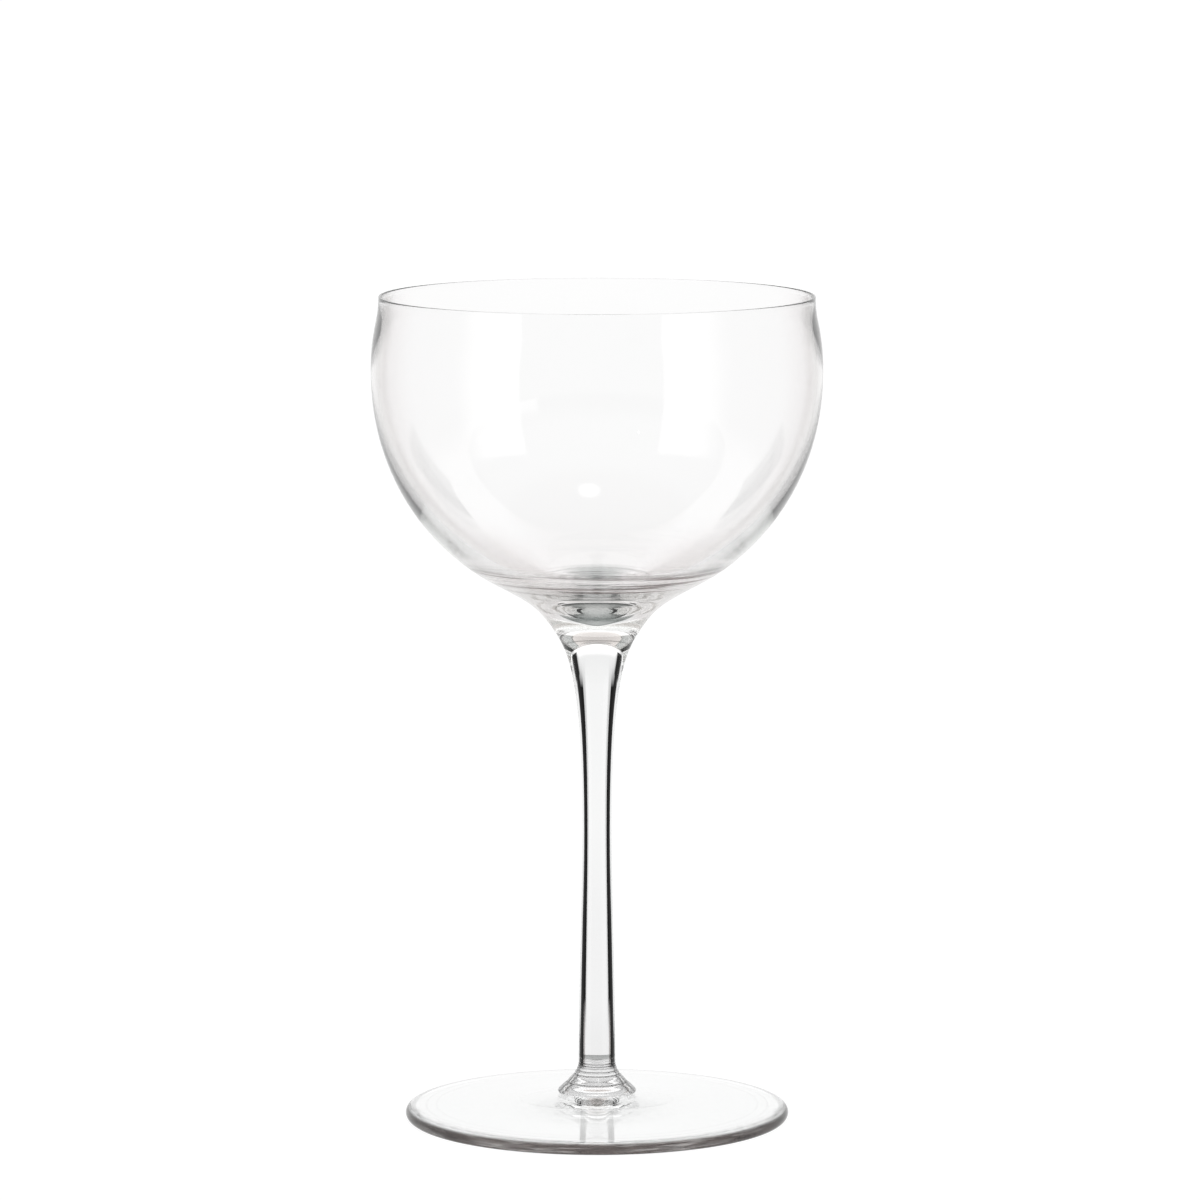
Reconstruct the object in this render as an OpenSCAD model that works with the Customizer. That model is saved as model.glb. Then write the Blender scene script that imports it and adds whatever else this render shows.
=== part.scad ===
// Nick and nora glass: a thin round bowl, a drawn stem, a collar and a foot,
// each a piece of clear glass welded hot to the next on one flat disc.
// The origin is the middle of the resting plane, with +Z up the axis.

/* [Bowl] */
// Height of the bowl, from its weld to the top of the rim
bowl_h = 65; // [58:0.5:75]
// Widest outside diameter of the bowl
bowl_d = 87; // [82:0.5:96]
// Outside diameter at the rim
rim_d = 84; // [76:0.5:86]
// Thickness of the fire-polished rim
rim_t = 1; // [0.8:0.1:1.6]
// Thickness of the side at its widest point
wall_t = 1.2; // [0.9:0.1:2]
// Depth of the widest point below the top of the rim
belly_drop = 14.5; // [10:0.5:20]
// Outside diameter where the round side turns into the flare
turn_d = 42.2; // [38:0.1:47]
// Height of that turn above the weld
turn_h = 10.1; // [9:0.1:12]
// Angle of the side at the turn, above the horizontal
turn_angle = 28.5; // [25:0.5:32]
// Thickness of the side at the turn
turn_t = 2.7; // [2:0.1:3.2]
// Thickness of the glass under the bottom of the well
well_t = 3.6; // [2.6:0.1:4.4]

/* [Stem] */
// Length of the stem between its two welds
stem_h = 83.5; // [60:0.5:110]
// Diameter of the weld between the stem and the bowl
stem_top_d = 16.4; // [13:0.1:18]
// Angle of the stem and of the bowl where they meet at that weld, above the horizontal
weld_angle = 57; // [52:1:62]
// Smallest diameter of the stem
waist_d = 5.7; // [4.5:0.1:6.6]
// Height of the waist above the weld to the collar
waist_h = 44; // [32:0.5:52]
// Diameter of the weld between the stem and the collar
stem_foot_d = 7.1; // [6.8:0.1:9]

/* [Collar] */
// Height of the collar between the foot and the stem
collar_h = 6.7; // [5:0.1:9]
// Diameter of the collar where it sits on the foot
collar_d = 15.2; // [13:0.1:18]
// Radius of the collar's rounded toe
collar_toe_r = 0.6; // [0.3:0.1:1]

/* [Foot] */
// Outside diameter of the foot
foot_d = 74.5; // [62:0.5:84]
// Thickness of the foot's rounded edge
foot_edge_t = 2.4; // [1.8:0.1:3]
// Height of the hub that carries the collar
hub_h = 5.3; // [4.5:0.1:7]
// Width of the flat ring that the glass rests on
rest_w = 3; // [2:0.5:6]
// Rise of the dished underside at the centre
dish_h = 2.4; // [1.6:0.1:3]

/* [Hidden] */
$fn = 96;

// Shares that set how far each curve runs on before it bends, from one end and from the other
rim_shares = [0.34, 0.57];
belly_shares = [0.62, 0.3];
flare_shares = [0.53, 0.37];
well_shares = [0.42, 0.09];
trumpet_shares = [0.126, 0.77];
taper_shares = [0.3, 0.3];
collar_shares = [0.52, 0.4];
foot_top_shares = [0.3, 0.45];
dish_shares = [0.45, 0.3];

// Angles of the surfaces, measured from the horizontal
toe_angle = 45;
foot_edge_angle = 3;
hub_angle = 9;

// Number of steps along one curve and round one arc
curve_steps = 18;
arc_steps = 8;

// Levels of the welds, and the radii of what stands on the axis
collar_z = hub_h;
stem_z = collar_z + collar_h;
bowl_z = stem_z + stem_h;
rim_z = bowl_z + bowl_h;
bowl_r = bowl_d / 2;
rim_r = rim_d / 2;
turn_r = turn_d / 2;
stem_top_r = stem_top_d / 2;
waist_r = waist_d / 2;
stem_foot_r = stem_foot_d / 2;
collar_r = collar_d / 2;
foot_r = foot_d / 2;
foot_edge_r = foot_edge_t / 2;
rim_round_r = rim_t / 2;

// Unit vector at an angle above the horizontal
function heading(angle) = [cos(angle), sin(angle)];

// Point at share s of a cubic curve from a to d, with b and c as its handles
function curve_point(a, b, c, d, s) =
    pow(1 - s, 3) * a + 3 * pow(1 - s, 2) * s * b + 3 * (1 - s) * s * s * c + pow(s, 3) * d;

// Points of a cubic curve, without its first point, so that curves can be chained
function curve(a, b, c, d) =
    [for (i = [1 : curve_steps]) curve_point(a, b, c, d, i / curve_steps)];

// Points of an arc round a centre, without its first point
function arc(centre, r, from_angle, to_angle) =
    [for (i = [1 : arc_steps]) centre + r * heading(from_angle + (to_angle - from_angle) * i / arc_steps)];

// Outside of the bowl, from the weld up to the rim
weld_edge = [stem_top_r, bowl_z];
turn_out = [turn_r, bowl_z + turn_h];
belly_out = [bowl_r, rim_z - belly_drop];
rim_out = [rim_r, rim_z - rim_round_r];
turn_gap = norm(turn_out - weld_edge);
side_gap = belly_out.y - turn_out.y;
side_reach = belly_out.x - turn_out.x;
rim_gap = rim_out.y - belly_out.y;
bowl_outside = concat(
    [weld_edge],
    curve(
        weld_edge,
        weld_edge + flare_shares[1] * turn_gap * heading(weld_angle),
        turn_out - flare_shares[0] * turn_gap * heading(turn_angle),
        turn_out
    ),
    curve(
        turn_out,
        turn_out + belly_shares[1] * side_reach * heading(turn_angle),
        belly_out - [0, belly_shares[0] * side_gap],
        belly_out
    ),
    curve(
        belly_out,
        belly_out + [0, rim_shares[1] * rim_gap],
        rim_out - [0, rim_shares[0] * rim_gap],
        rim_out
    )
);

// Inside of the bowl, from the rim down to the bottom of the well
rim_in = rim_out - [rim_t, 0];
belly_in = belly_out - [wall_t, 0];
turn_in = turn_out + turn_t * heading(turn_angle + 90);
well_in = [0, bowl_z + well_t];
bowl_inside = concat(
    curve(
        rim_in,
        rim_in - [0, rim_shares[0] * rim_gap],
        belly_in + [0, rim_shares[1] * rim_gap],
        belly_in
    ),
    curve(
        belly_in,
        belly_in - [0, belly_shares[0] * (belly_in.y - turn_in.y)],
        turn_in + belly_shares[1] * (belly_in.x - turn_in.x) * heading(turn_angle),
        turn_in
    ),
    curve(
        turn_in,
        turn_in - well_shares[0] * turn_in.x * heading(turn_angle),
        well_in + [well_shares[1] * turn_in.x, 0],
        well_in
    )
);

// Thin blown bowl: its side thickens into the boss that the stem is welded to
module bowl() {
    color([0.9, 0.93, 0.93, 0.35])
        rotate_extrude()
            polygon(concat(
                bowl_outside,
                arc(rim_out - [rim_round_r, 0], rim_round_r, 0, 180),
                bowl_inside,
                [[0, bowl_z]]
            ));
}

// Drawn stem: a trumpet under the bowl, a long waist, and a slow swell to the collar
waist = [waist_r, stem_z + waist_h];
stem_top = [stem_top_r, bowl_z];
stem_foot = [stem_foot_r, stem_z];
trumpet_gap = stem_top.y - waist.y;
taper_gap = waist.y - stem_foot.y;
module stem() {
    color([0.88, 0.91, 0.91, 0.5])
        rotate_extrude()
            polygon(concat(
                [[0, stem_z], stem_foot],
                curve(
                    stem_foot,
                    stem_foot + [0, taper_shares[0] * taper_gap],
                    waist - [0, taper_shares[1] * taper_gap],
                    waist
                ),
                curve(
                    waist,
                    waist + [0, trumpet_shares[1] * trumpet_gap],
                    stem_top - trumpet_shares[0] * trumpet_gap * heading(weld_angle),
                    stem_top
                ),
                [[0, bowl_z]]
            ));
}

// Collar: a small gather of glass that spreads the stem onto the foot
toe_centre = [collar_r - collar_toe_r, collar_z];
toe_top = toe_centre + collar_toe_r * heading(toe_angle);
flank_gap = norm(stem_foot - toe_top);
module foot_collar() {
    color([0.86, 0.9, 0.9, 0.5])
        rotate_extrude()
            polygon(concat(
                [[0, collar_z], [collar_r, collar_z]],
                arc(toe_centre, collar_toe_r, 0, toe_angle),
                curve(
                    toe_top,
                    toe_top + collar_shares[0] * flank_gap * heading(180 - toe_angle),
                    stem_foot - [0, collar_shares[1] * flank_gap],
                    stem_foot
                ),
                [[0, stem_z]]
            ));
}

// Foot: a shallow cone with a flat seat for the collar, a round edge and a dished underside
rest_r = foot_r - foot_edge_r;
hub_edge = [collar_r, hub_h];
edge_centre = [rest_r, foot_edge_r];
edge_top = edge_centre + foot_edge_r * heading(90 - foot_edge_angle);
foot_reach = edge_top.x - hub_edge.x;
dish_r = rest_r - rest_w;
dish_edge = [dish_r, 0];
dish_crown = [0, dish_h];
module foot() {
    color([0.88, 0.92, 0.92, 0.45])
        rotate_extrude()
            polygon(concat(
                [[0, hub_h], hub_edge],
                curve(
                    hub_edge,
                    hub_edge + foot_top_shares[0] * foot_reach * heading(-hub_angle),
                    edge_top + foot_top_shares[1] * foot_reach * heading(180 - foot_edge_angle),
                    edge_top
                ),
                arc(edge_centre, foot_edge_r, 90 - foot_edge_angle, -90),
                [dish_edge],
                curve(
                    dish_edge,
                    dish_edge + dish_shares[0] * dish_r * heading(180 - foot_edge_angle),
                    dish_crown + [dish_shares[1] * dish_r, 0],
                    dish_crown
                )
            ));
}

bowl();
stem();
foot_collar();
foot();
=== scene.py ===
# Clear stemmed cocktail glass: bowl, stem, collar and foot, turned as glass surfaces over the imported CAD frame.
import math

import bpy
import numpy as np
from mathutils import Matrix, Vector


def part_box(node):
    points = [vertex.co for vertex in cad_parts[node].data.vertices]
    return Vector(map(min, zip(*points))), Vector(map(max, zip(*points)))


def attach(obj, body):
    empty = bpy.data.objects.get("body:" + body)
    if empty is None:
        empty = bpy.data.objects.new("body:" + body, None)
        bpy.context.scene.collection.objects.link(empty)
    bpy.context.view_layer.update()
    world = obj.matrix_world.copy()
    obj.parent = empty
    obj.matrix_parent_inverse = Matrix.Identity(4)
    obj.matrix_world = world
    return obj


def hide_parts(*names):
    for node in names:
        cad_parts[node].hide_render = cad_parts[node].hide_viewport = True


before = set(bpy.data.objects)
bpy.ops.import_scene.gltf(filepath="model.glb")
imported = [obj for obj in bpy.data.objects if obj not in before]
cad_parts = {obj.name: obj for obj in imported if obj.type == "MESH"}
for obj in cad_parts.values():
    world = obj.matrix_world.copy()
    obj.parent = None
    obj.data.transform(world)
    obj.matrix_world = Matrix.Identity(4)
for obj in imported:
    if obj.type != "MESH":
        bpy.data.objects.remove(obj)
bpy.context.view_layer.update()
print("frame loaded:", sorted(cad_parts))

mm = 0.001
turnSteps = 360  # steps round the axis on every turned piece

bowlLow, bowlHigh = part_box("bowl")
stemLow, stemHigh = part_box("stem")
collarLow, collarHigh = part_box("foot_collar")
footLow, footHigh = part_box("foot")


# Nodes

def addNode(tree, kind, **values):
    node = tree.nodes.new(kind)
    for key, value in values.items():
        setattr(node, key, value)
    return node


def colour(tone):
    # A grey or an (r, g, b) tone as a colour with full alpha.
    return (*tone, 1) if isinstance(tone, tuple) else (tone, tone, tone, 1)


def feed(tree, socket, value):
    # An output is linked to the socket, and a plain value is set on it.
    if isinstance(value, bpy.types.NodeSocket):
        tree.links.new(value, socket)
    else:
        socket.default_value = colour(value) if socket.type == "RGBA" else value


def addMath(tree, operation, *values):
    node = addNode(tree, "ShaderNodeMath", operation=operation)
    for socket, value in zip(node.inputs, values):
        feed(tree, socket, value)
    return node.outputs[0]


def smoothRange(tree, value, start, end, low=0.0, high=1.0):
    # Smooth step: low up to the start, high from the end on. The end may lie below the start.
    node = addNode(tree, "ShaderNodeMapRange", interpolation_type="SMOOTHSTEP")
    names = ("Value", "From Min", "From Max", "To Min", "To Max")
    for name, given in zip(names, (value, start, end, low, high)):
        feed(tree, node.inputs[name], given)
    return node.outputs["Result"]


def between(tree, value, low, lowSoft, high, highSoft):
    # 1 between low and high, with a soft edge on each side: one smooth step up times one smooth step down.
    rise = smoothRange(tree, value, low - lowSoft, low + lowSoft)
    fall = smoothRange(tree, value, high + highSoft, high - highSoft)
    return addMath(tree, "MULTIPLY", rise, fall)


def mixTone(tree, share, first, second):
    # Colour mix: share 0 gives the first, share 1 gives the second.
    mix = addNode(tree, "ShaderNodeMix", data_type="RGBA")
    for name, value in (("Factor", share), ("A", first), ("B", second)):
        feed(tree, mix.inputs[name], value)
    return mix.outputs["Result"]


def timesTone(tree, first, second):
    # Product of two colours.
    both = addNode(tree, "ShaderNodeMix", data_type="RGBA", blend_type="MULTIPLY")
    for name, value in (("Factor", 1.0), ("A", first), ("B", second)):
        feed(tree, both.inputs[name], value)
    return both.outputs["Result"]


def addRamp(tree, place, stops):
    # Colour by place, from (position, tone) stops.
    node = addNode(tree, "ShaderNodeValToRGB")
    ramp = node.color_ramp
    while len(ramp.elements) > 1:
        ramp.elements.remove(ramp.elements[-1])
    for i, (position, tone) in enumerate(stops):
        stop = ramp.elements[0] if i == 0 else ramp.elements.new(position)
        stop.position = position
        stop.color = colour(tone)
    feed(tree, node.inputs["Fac"], place)
    return node.outputs["Color"]


def mixShaders(tree, share, first, second):
    # Shader mix: share 0 gives the first, share 1 gives the second.
    mix = addNode(tree, "ShaderNodeMixShader")
    for socket, value in zip(mix.inputs, (share, first, second)):
        feed(tree, socket, value)
    return mix.outputs[0]


# Camera and studio

camera = {
    "lens": 210.0,
    "sensor": 36.0,
    "distance": 1340.4 * mm,
    "height": 273.75 * mm,
    "pitch": 7.32,
    "sideStep": 0.58 * mm,
    "clip": (0.05, 60.0),
}


def makeCamera(c):
    # The camera stands in front on -Y, raised, and looks down along +Y by its pitch.
    data = bpy.data.cameras.new("photoCamera")
    data.lens = c["lens"]
    data.sensor_width = c["sensor"]
    data.clip_start, data.clip_end = c["clip"]
    eye = bpy.data.objects.new("photoCamera", data)
    eye.location = (c["sideStep"], -c["distance"], c["height"])
    eye.rotation_euler = (math.radians(90 - c["pitch"]), 0, 0)
    bpy.context.scene.collection.objects.link(eye)
    bpy.context.scene.camera = eye


# Angles are in degrees: azimuth from straight behind the glass, and elevation above the level of the table.
# A softness named in sines is measured on the sine of the elevation.
studio = {
    "white": 1.0,
    # tone that light through the glass meets, by elevation
    "through": [(-90, 1.0), (48, 1.0), (56, (0.72, 0.68, 0.66)), (90, (0.58, 0.545, 0.53))],
    # its strength, which grows with the sine of the elevation: from, to, first and last strength
    "strength": (0.28, 0.46, 0.99, 1.5),
    # dark boards overhead, met by light through the glass: azimuth, half-width, lowest and highest elevation
    "boards": [(42, 10, 8, 28), (-42, 10, 8, 28)],
    "boardTone": 0.02,
    "boardSoft": 2,
    "boardSines": (0.02, 0.01),
    # tone that mirrored light meets, by azimuth, the same on both sides
    "mirrored": [(0, 1.0), (20, 0.95), (60, 0.7), (108, 0.6), (180, 0.56)],
    # elevation past which the same light has another tone, low down and overhead
    "below": (-36, 0.58),
    "above": (26, 0.6),
    "levelSines": 0.12,
    # softboxes: from and to azimuth with the softness of both edges, lowest and highest elevation, tone
    "boxes": [(-140.3, 0.8, -110, 9, -31, 24, 1.9), (116, 11, 146, 1.2, -31, 24, 1.9)],
    "boxSines": (0.02, 0.05),
    # small lamps met by mirrored light: azimuth, elevation, radius with softness, tone
    "lamps": [(166, 75.5, 1.5, 4.5, 4.0), (158, -21.7, 0.35, 0.25, 14.0)],
}


def sine(degrees):
    return math.sin(math.radians(degrees))


def cosine(degrees):
    return math.cos(math.radians(degrees))


def patch(tree, azimuth, climb, sides, levels, sines):
    # 1 on a patch of the sky: between two azimuths, times between two elevations. sides holds each azimuth
    # with its softness, levels the elevations and sines their softness.
    across = between(tree, azimuth, *map(math.radians, sides))
    upright = between(tree, climb, sine(levels[0]), sines[0], sine(levels[1]), sines[1])
    return addMath(tree, "MULTIPLY", across, upright)


def mirroredLight(tree, s, aim, azimuth, climb):
    # A room by azimuth, with other tones low down and overhead, then softboxes and lamps over it.
    turned = addMath(tree, "DIVIDE", addMath(tree, "ABSOLUTE", azimuth), math.pi)
    tone = addRamp(tree, turned, [(place / 180, level) for place, level in s["mirrored"]])
    for (edge, level), soft in ((s["below"], -s["levelSines"]), (s["above"], s["levelSines"])):
        past = smoothRange(tree, climb, sine(edge) - soft, sine(edge) + soft)
        tone = mixTone(tree, past, tone, level)
    for left, leftSoft, right, rightSoft, lowest, highest, level in s["boxes"]:
        box = patch(tree, azimuth, climb, (left, leftSoft, right, rightSoft), (lowest, highest), s["boxSines"])
        tone = mixTone(tree, box, tone, level)
    for place, rise, size, soft, level in s["lamps"]:
        near = addNode(tree, "ShaderNodeVectorMath", operation="DOT_PRODUCT")
        feed(tree, near.inputs[0], aim)
        feed(tree, near.inputs[1], (cosine(rise) * sine(place), cosine(rise) * cosine(place), sine(rise)))
        spot = smoothRange(tree, near.outputs["Value"], cosine(size + soft), cosine(max(size - soft, 0)))
        tone = mixTone(tree, spot, tone, level)
    return tone


def throughLight(tree, s, azimuth, climb):
    # A room by elevation, brighter higher up until its ceiling, with the boards over it.
    lift = addMath(tree, "MULTIPLY_ADD", climb, 0.5, 0.5)  # sine -1 to 1 becomes 0 to 1
    room = addRamp(tree, lift, [(sine(level) / 2 + 0.5, tone) for level, tone in s["through"]])
    lit = addNode(tree, "ShaderNodeVectorMath", operation="SCALE")
    feed(tree, lit.inputs[0], room)
    feed(tree, lit.inputs["Scale"], smoothRange(tree, climb, *s["strength"]))
    tone = lit.outputs[0]
    for place, half, lowest, highest in s["boards"]:
        sides = (place - half, s["boardSoft"], place + half, s["boardSoft"])
        board = patch(tree, azimuth, climb, sides, (lowest, highest), s["boardSines"])
        tone = mixTone(tree, board, tone, s["boardTone"])
    return tone


def makeWorld(s):
    # White for the camera, one room for light through the glass, and another for mirrored light.
    world = bpy.data.worlds.new("studioWorld")
    bpy.context.scene.world = world
    world.use_nodes = True
    tree = world.node_tree
    tree.nodes.clear()
    aim = addNode(tree, "ShaderNodeTexCoord").outputs["Generated"]
    split = addNode(tree, "ShaderNodeSeparateXYZ")
    feed(tree, split.inputs[0], aim)
    azimuth = addMath(tree, "ARCTAN2", split.outputs["X"], split.outputs["Y"])
    climb = split.outputs["Z"]  # sine of the elevation
    rays = addNode(tree, "ShaderNodeLightPath")
    seen = mixTone(tree, rays.outputs["Is Transmission Ray"],
                   mirroredLight(tree, s, aim, azimuth, climb), throughLight(tree, s, azimuth, climb))
    light = addNode(tree, "ShaderNodeBackground")
    feed(tree, light.inputs["Color"], mixTone(tree, rays.outputs["Is Camera Ray"], seen, s["white"]))
    feed(tree, addNode(tree, "ShaderNodeOutputWorld").inputs["Surface"], light.outputs[0])


floorLook = {
    "radius": 9.0,
    "sides": 96,
    "glow": 0.95,
    "shade": 0.14,
    "throughTone": (0.99, 0.985, 0.985),  # what light through the glass meets
}


def makeFloor(f):
    # A disc on the resting plane: points (radius cos t, radius sin t, 0). It glows white and still takes a
    # shadow for the camera, is plain to light through the glass, and is clear to mirrored light.
    t = np.linspace(0, 2 * math.pi, f["sides"], endpoint=False)
    points = np.column_stack([f["radius"] * np.cos(t), f["radius"] * np.sin(t), np.zeros(f["sides"])])
    mesh = bpy.data.meshes.new("studioFloor")
    mesh.from_pydata(points.tolist(), [], [list(range(f["sides"]))])
    floor = bpy.data.objects.new("studioFloor", mesh)
    bpy.context.scene.collection.objects.link(floor)
    mat = bpy.data.materials.new("paperWhite")
    mat.use_nodes = True
    tree = mat.node_tree
    tree.nodes.clear()
    glow = addNode(tree, "ShaderNodeEmission")
    feed(tree, glow.inputs["Color"], f["glow"])
    paper = addNode(tree, "ShaderNodeBsdfDiffuse")
    feed(tree, paper.inputs["Color"], f["shade"])
    lit = addNode(tree, "ShaderNodeAddShader")
    feed(tree, lit.inputs[0], glow.outputs[0])
    feed(tree, lit.inputs[1], paper.outputs[0])
    plain = addNode(tree, "ShaderNodeEmission")
    feed(tree, plain.inputs["Color"], f["throughTone"])
    clear = addNode(tree, "ShaderNodeBsdfTransparent")
    rays = addNode(tree, "ShaderNodeLightPath")
    other = mixShaders(tree, rays.outputs["Is Glossy Ray"], plain.outputs[0], clear.outputs[0])
    seen = mixShaders(tree, rays.outputs["Is Camera Ray"], other, lit.outputs[0])
    feed(tree, addNode(tree, "ShaderNodeOutputMaterial").inputs["Surface"], seen)
    mesh.materials.append(mat)


makeCamera(camera)
makeWorld(studio)
makeFloor(floorLook)
print("camera, studio and floor made")


# Curves and turned surfaces

def point(r, z):
    return np.array([r, z], float)


def heading(degrees):
    # Unit vector (cos, sin) at an angle above the horizontal.
    return np.array([cosine(degrees), sine(degrees)])


def curve(a, b, c, d, steps):
    # Cubic curve from a to d with handles b and c, without its first point.
    t = np.linspace(0, 1, steps + 1)[1:, None]
    return (1 - t) ** 3 * a + 3 * (1 - t) ** 2 * t * b + 3 * (1 - t) * t ** 2 * c + t ** 3 * d


def arc(centre, radius, start, end, steps):
    # Points centre + radius * (cos, sin) of an angle that runs from start to end, without the first.
    t = np.radians(np.linspace(start, end, steps + 1)[1:])
    return centre + radius * np.column_stack([np.cos(t), np.sin(t)])


def turn(name, outline, welded=(), insideFrom=None):
    # Surface of revolution: point (r, z) of the outline at angle t goes to (r cos t, r sin t, z).
    # The outline runs from the axis to the axis with the glass on its left. welded names the end discs,
    # "first" or "last", that lie on a neighbour, and insideFrom is the ring at which the inside begins.
    ring = outline[1:-1]
    t = np.linspace(0, 2 * math.pi, turnSteps, endpoint=False)
    across = np.outer(ring[:, 0], np.cos(t))
    along = np.outer(ring[:, 0], np.sin(t))
    up = np.repeat(ring[:, 1:], turnSteps, 1)
    ends = [[0, 0, outline[0][1]], [0, 0, outline[-1][1]]]
    verts = np.vstack([np.stack([across, along, up], -1).reshape(-1, 3), ends])
    firstEnd, lastEnd = len(verts) - 2, len(verts) - 1

    row = np.arange(len(ring) - 1)[:, None] * turnSteps
    here = np.arange(turnSteps)
    following = (here + 1) % turnSteps
    quads = np.stack([row + here, row + following, row + turnSteps + following, row + turnSteps + here], -1)
    quads = quads.reshape(-1, 4)
    lastRow = (len(ring) - 1) * turnSteps
    firstFan = np.stack([np.full(turnSteps, firstEnd), following, here], -1)
    lastFan = np.stack([lastRow + here, lastRow + following, np.full(turnSteps, lastEnd)], -1)
    mesh = bpy.data.meshes.new(name)
    mesh.from_pydata(verts.tolist(), [], quads.tolist() + firstFan.tolist() + lastFan.tolist())
    mesh.polygons.foreach_set("use_smooth", np.ones(len(mesh.polygons), bool))

    # a welded disc has the clear material and a sharp rim
    discs = {
        "first": (slice(len(quads), len(quads) + turnSteps), 0),
        "last": (slice(len(quads) + turnSteps, None), len(ring) - 1),
    }
    material = np.zeros(len(mesh.polygons), np.int32)
    corners = np.zeros((len(mesh.edges), 2), np.int32)
    mesh.edges.foreach_get("vertices", corners.ravel())
    sharp = np.zeros(len(mesh.edges), bool)
    for faces, rim in (discs[end] for end in welded):
        material[faces] = 1
        sharp |= (corners // turnSteps == rim).all(1)
    mesh.polygons.foreach_set("material_index", material)
    mesh.edges.foreach_set("use_edge_sharp", sharp)

    if insideFrom is not None:
        inside = np.zeros(len(verts))
        inside[insideFrom * turnSteps:firstEnd] = 1.0
        inside[lastEnd] = 1.0
        mesh.attributes.new("inside", "FLOAT", "POINT").data.foreach_set("value", inside)
    mesh.update()
    piece = bpy.data.objects.new(name, mesh)
    bpy.context.scene.collection.objects.link(piece)
    return piece


# Glass

# dark tone of the painted shade along the streaks
streakShadeTone = (0.12, 0.095, 0.09)


def streakShadeGroup():
    # Long flat ripples left by the tools as a height, and painted shade along them as a tone: noise drawn out
    # round the axis.
    group = bpy.data.node_groups.new("toolRipplesAndPaintedShade", "ShaderNodeTree")
    for name in ("Around", "Up", "Depth", "Clear Below", "Dark Above"):
        group.interface.new_socket(name=name, in_out="INPUT", socket_type="NodeSocketFloat")
    group.interface.new_socket(name="Tone", in_out="OUTPUT", socket_type="NodeSocketColor")
    group.interface.new_socket(name="Height", in_out="OUTPUT", socket_type="NodeSocketFloat")
    given = addNode(group, "NodeGroupInput").outputs
    result = addNode(group, "NodeGroupOutput").inputs
    stretch = addNode(group, "ShaderNodeCombineXYZ")
    for socket, name in zip(stretch.inputs, ("Around", "Around", "Up")):
        feed(group, socket, given[name])
    drawn = addNode(group, "ShaderNodeVectorMath", operation="MULTIPLY")
    feed(group, drawn.inputs[0], addNode(group, "ShaderNodeTexCoord").outputs["Object"])
    feed(group, drawn.inputs[1], stretch.outputs[0])
    noise = addNode(group, "ShaderNodeTexNoise")
    for name, value in (("Vector", drawn.outputs[0]), ("Scale", 1.0), ("Detail", 3.0), ("Distortion", 0.6)):
        feed(group, noise.inputs[name], value)
    dark = smoothRange(group, noise.outputs["Fac"], given["Clear Below"], given["Dark Above"])
    depth = addMath(group, "MULTIPLY", dark, given["Depth"])
    feed(group, result["Tone"], mixTone(group, depth, 1.0, streakShadeTone))
    feed(group, result["Height"], noise.outputs["Fac"])
    return group


streaks = streakShadeGroup()


def band(tree, height, levels):
    # 1 in a band of heights: lowest level with its softness and highest with its softness, in millimetres.
    return between(tree, height, *(level * mm for level in levels))


def ringShade(tree, height, rings):
    # Painted shade by height alone: (level in millimetres, tone) pairs, run from one level to the next.
    low, high = rings[0][0], rings[-1][0]
    place = addNode(tree, "ShaderNodeMapRange")
    for name, value in (("Value", height), ("From Min", low * mm), ("From Max", high * mm)):
        feed(tree, place.inputs[name], value)
    return addRamp(tree, place.outputs["Result"], [((level - low) / (high - low), tone) for level, tone in rings])


def edgeShade(tree, height, rows):
    # Painted shade by how edge-on the surface is, 0 to 1. Each row after the first takes over from the one before
    #     # it between two levels in millimetres.
    weight = addNode(tree, "ShaderNodeLayerWeight")
    feed(tree, weight.inputs["Blend"], 0.5)
    facing = weight.outputs["Facing"]
    tone = addRamp(tree, facing, rows[0])
    for stops, start, end in rows[1:]:
        climb = smoothRange(tree, height, start * mm, end * mm)
        tone = mixTone(tree, climb, tone, addRamp(tree, facing, stops))
    return tone


def addStreakShade(tree, streakShadeLook, height, inside):
    # The streak group with this piece's values; its tone is painted shade. Its depth is a band of heights, and
    # where the
    #     # piece has an inner band that one holds on the inside.
    streakShadeNode = addNode(tree, "ShaderNodeGroup", node_tree=streaks)
    for name in ("Around", "Up", "Clear Below", "Dark Above"):
        feed(tree, streakShadeNode.inputs[name], streakShadeLook[name])
    depth = band(tree, height, streakShadeLook["band"])
    if "innerBand" in streakShadeLook:
        both = addNode(tree, "ShaderNodeMix")
        for name, value in (("Factor", inside), ("A", depth), ("B", band(tree, height, streakShadeLook["innerBand"]))):
            feed(tree, both.inputs[name], value)
        depth = both.outputs["Result"]
    feed(tree, streakShadeNode.inputs["Depth"], depth)
    return streakShadeNode


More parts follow.
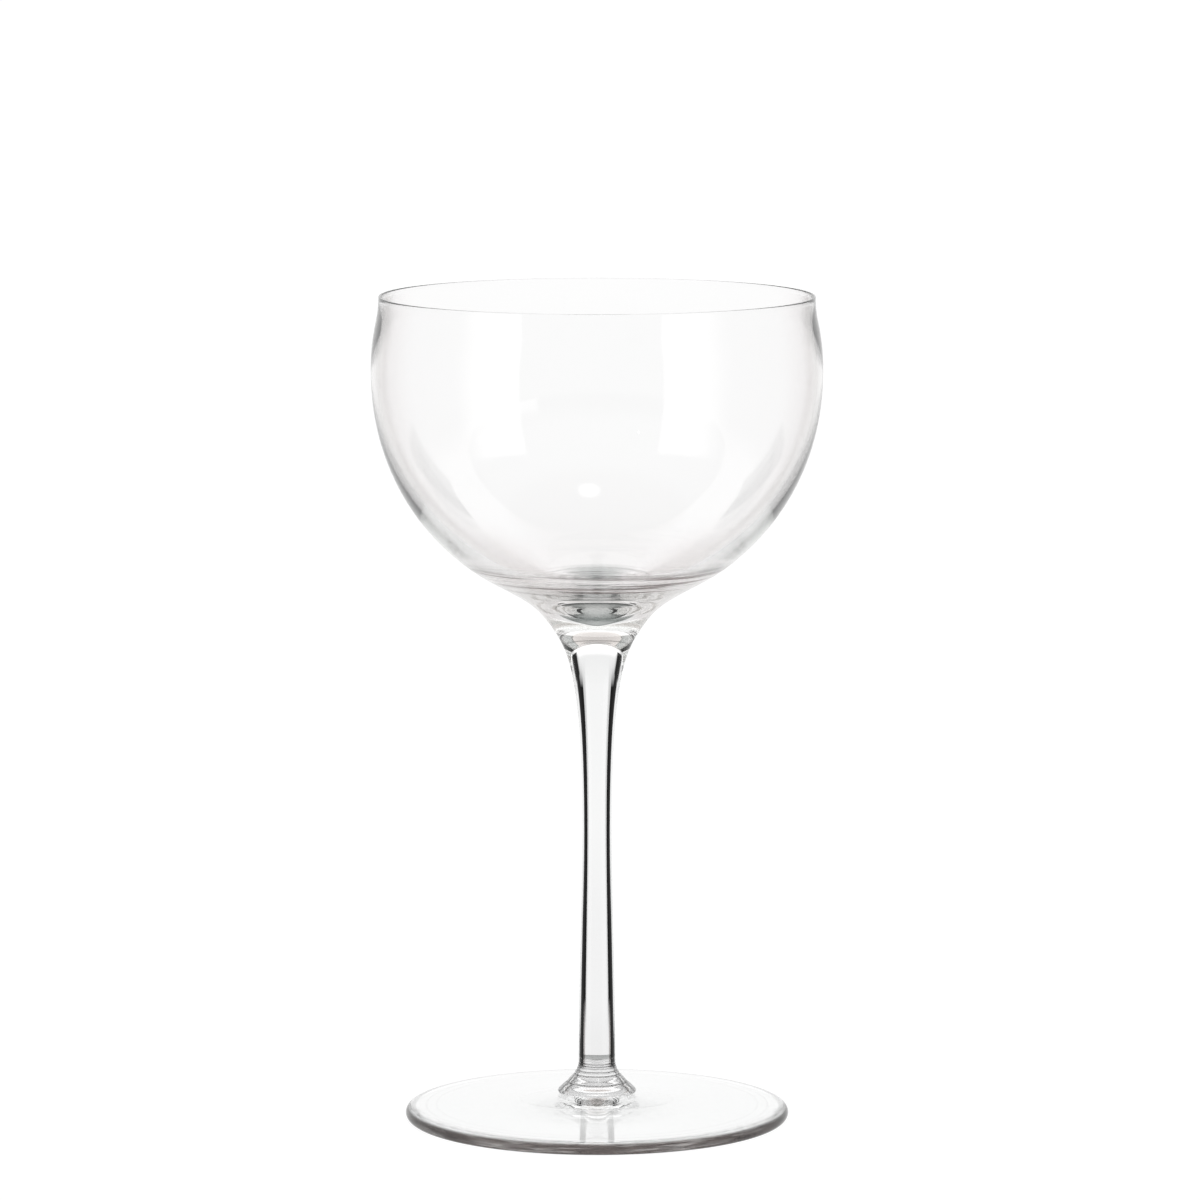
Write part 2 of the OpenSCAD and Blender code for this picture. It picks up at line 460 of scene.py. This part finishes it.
def clearGlass(name, look):
    # Refracting glass. Light that enters it is toned by painted shade: by edge, by streaks and by rings, in that
    # order,
    #     # and light on its way out only by the painted rings. What fills it takes up a little light.
    mat = bpy.data.materials.new(name)
    mat.use_nodes = True
    tree = mat.node_tree
    shader = tree.nodes["Principled BSDF"].inputs
    feed(tree, shader["Roughness"], 0.0)
    feed(tree, shader["IOR"], 1.5)
    feed(tree, shader["Transmission Weight"], 1.0)
    feed(tree, shader["Specular Tint"], look.get("shine", 1.0))
    split = addNode(tree, "ShaderNodeSeparateXYZ")
    feed(tree, split.inputs[0], addNode(tree, "ShaderNodeTexCoord").outputs["Object"])
    height = split.outputs["Z"]
    inside = addNode(tree, "ShaderNodeAttribute", attribute_name="inside").outputs["Fac"]
    tone = edgeShade(tree, height, look["edges"])
    if "streaks" in look:
        streakShadeLook = look["streaks"]
        streakShadeNode = addStreakShade(tree, streakShadeLook, height, inside)
        tone = timesTone(tree, tone, streakShadeNode.outputs["Tone"])
        if "relief" in streakShadeLook:
            bump = addNode(tree, "ShaderNodeBump")
            feed(tree, bump.inputs["Distance"], streakShadeLook["relief"])
            raised = addMath(tree, "MULTIPLY", streakShadeNode.outputs["Height"], band(tree, height, streakShadeLook["reliefBand"]))
            feed(tree, bump.inputs["Height"], raised)
            feed(tree, shader["Normal"], bump.outputs[0])
    leaving = addNode(tree, "ShaderNodeNewGeometry").outputs["Backfacing"]
    tone = mixTone(tree, leaving, tone, 1.0)
    if "rings" in look:
        tone = timesTone(tree, tone, ringShade(tree, height, look["rings"]))
    if "innerRings" in look:
        tone = timesTone(tree, tone, mixTone(tree, inside, 1.0, ringShade(tree, height, look["innerRings"])))
    feed(tree, shader["Base Color"], tone)
    fill = addNode(tree, "ShaderNodeVolumeAbsorption")
    feed(tree, fill.inputs["Color"], look["glassColour"])
    feed(tree, fill.inputs["Density"], look["density"])
    feed(tree, tree.nodes["Material Output"].inputs["Volume"], fill.outputs[0])
    return mat


def clearSeam():
    # Nothing at all: two fused pieces have no surface between them.
    mat = bpy.data.materials.new("fusedSeam")
    mat.use_nodes = True
    mat.node_tree.nodes["Principled BSDF"].inputs["Alpha"].default_value = 0.0
    return mat


seamMaterial = clearSeam()


def finishPiece(piece, node, material):
    piece.data.materials.append(material)
    piece.data.materials.append(seamMaterial)
    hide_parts(node)
    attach(piece, "root")


# Welds

weld = {
    "halfGap": 0.01 * mm,  # hair of air that each of two fused pieces leaves, hidden by the clear discs
    "bowlRadius": 8.2 * mm,  # stem to bowl
    "bowlAngle": 57.0,
    "neckRadius": 3.55 * mm,  # stem to collar
}
# the painted shade that the foot of the stem and the top of the collar share
neckShade = [
    (0.0, (0.86, 0.855, 0.86)), (0.25, (0.86, 0.855, 0.86)), (0.27, (0.12, 0.1, 0.1)), (0.31, (0.3, 0.28, 0.27)),
    (0.34, 0.0), (0.66, 0.0), (0.8, 0.3), (1.0, 0.4),
]


# Bowl

bowl = {
    "radius": bowlHigh.x,
    "rimZ": bowlHigh.z,
    "weldZ": bowlLow.z,
    "rimRadius": 42.0 * mm,
    "rimWall": 0.5 * mm,
    "wall": 1.2 * mm,
    "bellyDrop": 14.5 * mm,
    "turnRadius": 21.1 * mm,
    "turnRise": 10.1 * mm,
    "turnAngle": 28.5,
    "turnWall": 2.7 * mm,
    "wellWall": 3.9 * mm,
    # how far each curve runs on before it bends, as shares from its lower and its upper end
    "flareShares": (0.37, 0.53),
    "sideShares": (0.3, 0.62),
    "lipShares": (0.57, 0.34),
    "wellShares": (0.1, 0.3),
    "steps": 44,
    "lipSteps": 22,
    "rimSteps": 16,
}


def bowlOutline(b):
    # Outside from the weld to the rim, a half round over the rim, and the inside down to the well.
    up = point(0, 1)
    turnWay = heading(b["turnAngle"])
    edge = point(weld["bowlRadius"], b["weldZ"] + weld["halfGap"])
    turnOut = point(b["turnRadius"], b["weldZ"] + b["turnRise"])
    belly = point(b["radius"], b["rimZ"] - b["bellyDrop"])
    rim = point(b["rimRadius"], b["rimZ"] - b["rimWall"] / 2)
    chord = np.linalg.norm(turnOut - edge)
    rise = belly[1] - turnOut[1]
    reach = belly[0] - turnOut[0]
    lip = rim[1] - belly[1]
    flareLow, flareHigh = b["flareShares"]
    sideLow, sideHigh = b["sideShares"]
    lipLow, lipHigh = b["lipShares"]
    wellLow, wellHigh = b["wellShares"]
    outside = [
        [point(0, edge[1])],
        [edge],
        curve(edge, edge + flareLow * chord * heading(weld["bowlAngle"]),
              turnOut - flareHigh * chord * turnWay, turnOut, b["steps"]),
        curve(turnOut, turnOut + sideLow * reach * turnWay, belly - sideHigh * rise * up, belly, b["steps"]),
        curve(belly, belly + lipLow * lip * up, rim - lipHigh * lip * up, rim, b["lipSteps"]),
        arc(rim - point(b["rimWall"] / 2, 0), b["rimWall"] / 2, 0, 180, b["rimSteps"]),
    ]
    rimIn = rim - point(b["rimWall"], 0)
    bellyIn = belly - point(b["wall"], 0)
    turnIn = turnOut + b["turnWall"] * heading(b["turnAngle"] + 90)
    well = point(0, b["weldZ"] + b["wellWall"])
    inside = [
        curve(rimIn, rimIn - lipHigh * lip * up, bellyIn + lipLow * lip * up, bellyIn, b["lipSteps"]),
        curve(bellyIn, bellyIn - sideHigh * (bellyIn[1] - turnIn[1]) * up,
              turnIn + sideLow * (bellyIn[0] - turnIn[0]) * turnWay, turnIn, b["steps"]),
        curve(turnIn, turnIn - wellHigh * turnIn[0] * turnWay,
              well + point(wellLow * turnIn[0], 0), well, b["steps"]),
    ]
    return np.vstack(outside + inside), sum(map(len, outside)) - 1


# Levels and heights in a look are in millimetres above the table.
bowlLook = {
    # painted shade by how edge-on the glass is: dark edges and bands in place of the dark room seen through the
    # glass
    "edges": [
        [(0.0, 1.0), (0.4, 1.0), (0.6, (0.95, 0.92, 0.92)), (1.0, (0.7, 0.66, 0.65))],
        # the thick glass under the well, painted dark
        ([(0.0, (0.3, 0.32, 0.315)), (0.4, (0.32, 0.34, 0.335)), (0.5, (0.85, 0.82, 0.82)),
          (0.62, (0.72, 0.67, 0.665)), (0.8, (0.62, 0.57, 0.56))], 98.3, 99.0),
        # the flare, up to the turn
        ([(0.0, 0.97), (0.4, (0.95, 0.94, 0.94)), (0.5, (0.9, 0.87, 0.87)),
          (0.62, (0.72, 0.67, 0.665)), (0.8, (0.62, 0.57, 0.56))], 103.2, 104.2),
        # the round side
        ([(0.0, 1.0), (0.46, (0.99, 0.985, 0.985)), (0.55, (0.96, 0.945, 0.945)), (0.66, (0.9, 0.88, 0.88)),
          (0.76, (0.68, 0.65, 0.64)), (0.84, (0.88, 0.86, 0.85)), (1.0, (0.96, 0.95, 0.94))], 106, 114),
        # the rim
        ([(0.0, 1.0), (0.8, (0.95, 0.94, 0.94)), (1.0, (0.9, 0.89, 0.89))], 159.3, 159.6),
    ],
    # painted dark streaks in the thick glass, with a real ripple as a bump
    "streaks": {
        "Around": 30.0,
        "Up": 1700.0,
        "Clear Below": 0.5,
        "Dark Above": 0.57,
        "band": (104.4, 0.6, 109.2, 1.0),
        "innerBand": (101.5, 1.0, 103.5, 0.7),
        "relief": 0.15 * mm,
        "reliefBand": (106.4, 0.6, 109.2, 1.0),
    },
    # painted dark lines of shade on the inside of the well, by height
    "innerRings": [(100.55, 1.0), (100.7, 0.06), (101.1, 0.06), (101.25, 1.0),
                   (102.0, 1.0), (102.15, 0.3), (102.3, 1.0)],
    "glassColour": (0.47, 0.51, 0.49),
    "density": 9.0,
}
bowlGlass = clearGlass("blownGlass", bowlLook)
bowlLine, bowlInside = bowlOutline(bowl)
bowlPiece = turn("glassBowl", bowlLine, welded=("first",), insideFrom=bowlInside)
finishPiece(bowlPiece, "bowl", bowlGlass)
print("bowl turned")


# Stem

stem = {
    "topZ": stemHigh.z,
    "footZ": stemLow.z,
    "waistRadius": 2.85 * mm,
    "waistRise": 44.0 * mm,
    # shares from the lower and from the upper end, as on the bowl
    "taperShares": (0.3, 0.3),
    "trumpetShares": (0.77, 0.126),
    "steps": 90,
}


def stemOutline(s):
    # A slow swell from the collar to the waist, then a trumpet up to the bowl.
    up = point(0, 1)
    neck = point(weld["neckRadius"], s["footZ"] + weld["halfGap"])
    waist = point(s["waistRadius"], s["footZ"] + s["waistRise"])
    top = point(weld["bowlRadius"], s["topZ"] - weld["halfGap"])
    taper = waist[1] - neck[1]
    trumpet = top[1] - waist[1]
    taperLow, taperHigh = s["taperShares"]
    trumpetLow, trumpetHigh = s["trumpetShares"]
    return np.vstack([
        [point(0, neck[1])],
        [neck],
        curve(neck, neck + taperLow * taper * up, waist - taperHigh * taper * up, waist, s["steps"]),
        curve(waist, waist + trumpetLow * trumpet * up,
              top - trumpetHigh * trumpet * heading(weld["bowlAngle"]), top, s["steps"]),
        [point(0, top[1])],
    ])


stemLook = {
    "edges": [
        neckShade,
        # from the neck up: two painted dark lines of shade that grow thinner towards the bowl
        ([(0.0, (0.93, 0.925, 0.93)), (0.17, (0.93, 0.925, 0.93)), (0.23, 0.5), (0.25, 0.0), (0.57, 0.0),
          (0.62, 0.8)], 15, 24),
        ([(0.0, 1.0), (0.165, 1.0), (0.19, 0.5), (0.235, 0.4), (0.25, 0.0), (0.51, 0.0), (0.55, 0.9),
          (0.8, 0.95), (1.0, 0.7)], 40, 60),
        ([(0.0, 1.0), (0.28, 0.95), (0.34, 0.4), (0.35, 0.0), (0.47, 0.0), (0.51, 0.95), (0.8, 0.95),
          (1.0, 0.7)], 85, 91),
        ([(0.0, 1.0), (0.7, (0.93, 0.91, 0.9)), (1.0, (0.8, 0.78, 0.77))], 91.2, 92.4),
    ],
    "glassColour": (0.49, 0.51, 0.50),
    "density": 18.0,
    "shine": 0.3,
}
stemGlass = clearGlass("drawnGlass", stemLook)
stemPiece = turn("glassStem", stemOutline(stem), welded=("first", "last"))
finishPiece(stemPiece, "stem", stemGlass)
print("stem turned")


# Collar

collar = {
    "topZ": collarHigh.z,
    "footZ": collarLow.z,
    "radius": collarHigh.x,
    "toe": 0.6 * mm,
    "toeAngle": 45.0,
    "toeSteps": 10,
    "flankShares": (0.52, 0.4),
    "flankSteps": 200,
    # grooves left by the jacks: height, half-width and depth
    "grooves": [
        (7.2 * mm, 0.4 * mm, 0.1 * mm),
        (8.75 * mm, 0.22 * mm, 0.12 * mm),
        (9.5 * mm, 0.2 * mm, 0.1 * mm),
        (10.1 * mm, 0.14 * mm, 0.07 * mm),
        (10.5 * mm, 0.12 * mm, 0.1 * mm),
        (10.95 * mm, 0.13 * mm, 0.09 * mm),
    ],
    # the painted dark line of shade in each groove: half-width and the loss of light by depth, in millimetres,
    # and the least tone
    "grooveShade": (0.2, 10, 0.05),
}


def collarOutline(c):
    # A round toe on the foot, a flank that hollows in, and the narrow top that meets the stem. Each groove
    # takes depth * exp(-(distance / half-width) squared) off the flank.
    footZ = c["footZ"] + weld["halfGap"]
    top = point(weld["neckRadius"], c["topZ"] - weld["halfGap"])
    toe = arc(point(c["radius"] - c["toe"], footZ), c["toe"], 0, c["toeAngle"], c["toeSteps"])
    chord = np.linalg.norm(top - toe[-1])
    low, high = c["flankShares"]
    flank = curve(toe[-1], toe[-1] + low * chord * heading(180 - c["toeAngle"]),
                  top - point(0, high * chord), top, c["flankSteps"])
    for level, half, depth in c["grooves"]:
        flank[:, 0] -= depth * np.exp(-((flank[:, 1] - level) / half) ** 2)
    flank[-1] = top
    return np.vstack([
        [point(0, footZ)],
        [point(c["radius"], footZ)],
        toe,
        flank,
        [point(0, top[1])],
    ])


def grooveShadeRings(c):
    # A ring of painted shade over each groove, whose tone is 1 - loss * depth at its middle and 1 at its sides.
    half, loss, least = c["grooveShade"]
    rings = []
    for level, _, depth in c["grooves"]:
        middle = level / mm
        rings += [(middle - half, 1.0), (middle, max(least, 1 - loss * depth / mm)), (middle + half, 1.0)]
    return rings


collarLook = {
    # painted shade by how edge-on the glass is: black lines across the collar
    "edges": [
        [(0.0, 1.0), (0.4, 0.9), (0.5, 0.05), (0.58, 0.6), (0.66, 0.02), (0.76, 0.4), (0.84, 0.02), (1.0, 0.3)],
        (neckShade, 9.4, 10.6),
    ],
    "rings": grooveShadeRings(collar),
    "glassColour": (0.5, 0.5, 0.5),
    "density": 12.0,
}
collarGlass = clearGlass("collarGlass", collarLook)
collarPiece = turn("glassCollar", collarOutline(collar), welded=("first", "last"))
finishPiece(collarPiece, "foot_collar", collarGlass)
print("collar turned")


# Foot

foot = {
    "radius": footHigh.x,
    "hubZ": footHigh.z,
    "hubRadius": collarHigh.x,
    "hubAngle": 9.0,
    "edge": 2.4 * mm,
    "edgeAngle": 3.0,
    "restWidth": 3.0 * mm,
    "dish": 2.4 * mm,
    "dishShares": (0.3, 0.45),  # from the crown and from the resting ring
    "topShares": (0.45, 0.3),  # from the edge and from the hub
    "dishSteps": 40,
    "edgeSteps": 28,
    "topSteps": 60,
}


def footOutline(f):
    # The dished underside out to the resting ring, round the edge, and up the shallow cone to the hub.
    half = f["edge"] / 2
    edgeAngle = f["edgeAngle"]
    edgeCentre = point(f["radius"] - half, half)
    edgeTop = edgeCentre + half * heading(90 - edgeAngle)
    hub = point(f["hubRadius"], f["hubZ"] - weld["halfGap"])
    reach = edgeTop[0] - hub[0]
    rest = point(edgeCentre[0] - f["restWidth"], 0)
    crown = point(0, f["dish"])
    dishIn, dishOut = f["dishShares"]
    topOut, topIn = f["topShares"]
    return np.vstack([
        [crown],
        curve(crown, crown + point(dishIn * rest[0], 0),
              rest + dishOut * rest[0] * heading(180 - edgeAngle), rest, f["dishSteps"]),
        [point(edgeCentre[0], 0)],
        arc(edgeCentre, half, -90, 90 - edgeAngle, f["edgeSteps"]),
        curve(edgeTop, edgeTop + topOut * reach * heading(180 - edgeAngle),
              hub + topIn * reach * heading(-f["hubAngle"]), hub, f["topSteps"]),
        [point(0, hub[1])],
    ])


footLook = {
    "edges": [
        # painted shade: the round edge nearly black, then the top and the dish
        [(0.0, (0.22, 0.2, 0.19)), (0.5, (0.14, 0.125, 0.12)), (0.68, (0.03, 0.025, 0.02)), (0.95, 0.01),
         (0.97, 0.6), (1.0, 0.4)],
        ([(0.0, (0.94, 0.95, 0.945))], 2.1, 2.35),
    ],
    # painted dark streaks in the round edge
    "streaks": {
        "Around": 90.0,
        "Up": 2200.0,
        "Clear Below": 0.32,
        "Dark Above": 0.5,
        "band": (0.1, 0.1, 2.1, 0.2),
    },
    # painted dark lines of shade round the hub, by height
    "rings": [(2.38, 1.0), (2.4, 0.6), (2.43, 0.6), (2.45, 1.0), (2.54, 1.0), (2.56, 0.85), (2.58, 1.0),
              (2.66, 1.0), (2.68, 0.88), (2.7, 1.0)],
    "glassColour": (0.5, 0.5, 0.5),
    "density": 6.0,
}
footGlass = clearGlass("footGlass", footLook)
footPiece = turn("glassFoot", footOutline(foot), welded=("last",))
finishPiece(footPiece, "foot", footGlass)
print("foot turned")


# Thick glass turns the light over many times.
bounces = 32

scene = bpy.context.scene
scene.view_settings.view_transform = "Standard"
scene.cycles.max_bounces = bounces
scene.cycles.glossy_bounces = bounces
scene.cycles.transmission_bounces = bounces
